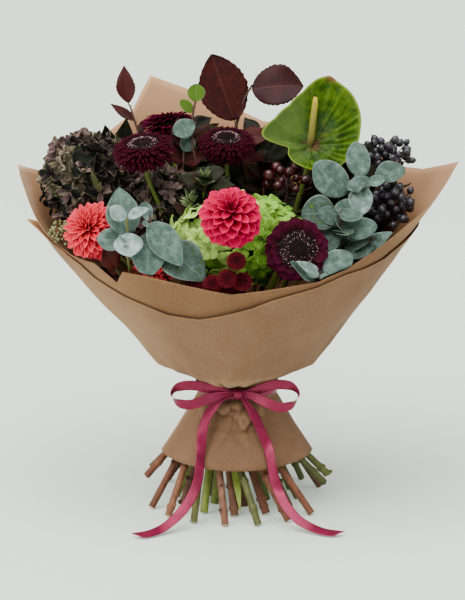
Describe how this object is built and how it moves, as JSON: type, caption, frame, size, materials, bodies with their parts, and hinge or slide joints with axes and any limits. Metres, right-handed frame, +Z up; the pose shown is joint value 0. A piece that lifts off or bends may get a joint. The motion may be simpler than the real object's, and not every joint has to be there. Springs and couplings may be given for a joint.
{
  "type": "mixed flower bouquet",
  "caption": "Hand-tied bouquet of mixed flowers and foliage in kraft paper with a satin bow, standing on its splayed stem ends.",
  "frame": {"origin": "centre of the bounding box in plan, at the level of the cut stem ends that the bouquet stands on", "axes": "+Z up; -Y is the front, with the bow and its tails; +X is the right side as seen from the front"},
  "size_m": [0.455, 0.3368, 0.4685],
  "materials": {
    "kraft": "plain uncoated",
    "satin_ribbon": "satin weave",
    "twine": "natural twist",
    "burgundy_petal": "velvety petal",
    "pink_petal": "soft petal",
    "coral_petal": "soft petal",
    "antique_petal": "dry petal",
    "lime_petal": "soft petal",
    "spathe_green": "waxy leaf",
    "spadix_yellow": "grainy",
    "fresh_stem": "green stem",
    "dark_stem": "dark green stem",
    "brown_stem": "woody stem",
    "eucalyptus_leaf": "powdery leaf and twig",
    "beech_leaf": "copper leaf and twig",
    "black_berry": "dusty berry and twig",
    "red_berry": "glossy berry and twig",
    "spiky_green": "fleshy leaf",
    "cream_bud": "bud and twig",
    "dark_greenery": "leaf and stem"
  },
  "bodies": {
    "root": {"paper_inner": "kraft", "paper_outer": "kraft", "ribbon": "satin_ribbon", "stem_binding": "twine", "gerbera_left": "burgundy_petal", "gerbera_left_stem": "fresh_stem", "gerbera_middle": "burgundy_petal", "gerbera_middle_stem": "fresh_stem", "gerbera_front": "burgundy_petal", "gerbera_front_stem": "fresh_stem", "gerbera_back": "burgundy_petal", "gerbera_back_stem": "fresh_stem", "dahlia_pink": "pink_petal", "dahlia_pink_stem": "dark_stem", "dahlia_coral": "coral_petal", "dahlia_coral_stem": "dark_stem", "dahlia_low": "coral_petal", "dahlia_low_stem": "dark_stem", "hydrangea_dark_left": "antique_petal", "hydrangea_dark_left_stem": "brown_stem", "hydrangea_dark_middle": "antique_petal", "hydrangea_dark_middle_stem": "brown_stem", "hydrangea_green": "lime_petal", "hydrangea_green_stem": "brown_stem", "anthurium_spathe": "spathe_green", "anthurium_spadix": "spadix_yellow", "anthurium_stem": "fresh_stem", "eucalyptus_left_outer": "eucalyptus_leaf", "eucalyptus_left_inner": "eucalyptus_leaf", "eucalyptus_right_upper": "eucalyptus_leaf", "eucalyptus_right_lower": "eucalyptus_leaf", "eucalyptus_front": "eucalyptus_leaf", "eucalyptus_top": "eucalyptus_leaf", "beech_top": "beech_leaf", "beech_left": "beech_leaf", "beech_middle": "beech_leaf", "beech_low": "beech_leaf", "santini_upper": "burgundy_petal", "santini_lower": "burgundy_petal", "berries_upper": "black_berry", "berries_lower": "black_berry", "hypericum": "red_berry", "filler_buds": "cream_bud", "spiky_sprig_upper": "spiky_green", "spiky_sprig_lower": "spiky_green", "greenery_back_left": "dark_greenery", "greenery_back_middle": "dark_greenery", "greenery_back_peak": "dark_greenery", "greenery_back_right": "dark_greenery", "greenery_right": "dark_greenery", "greenery_middle": "dark_greenery", "greenery_front": "dark_greenery", "greenery_centre": "dark_greenery"}
  },
  "joints": []
}
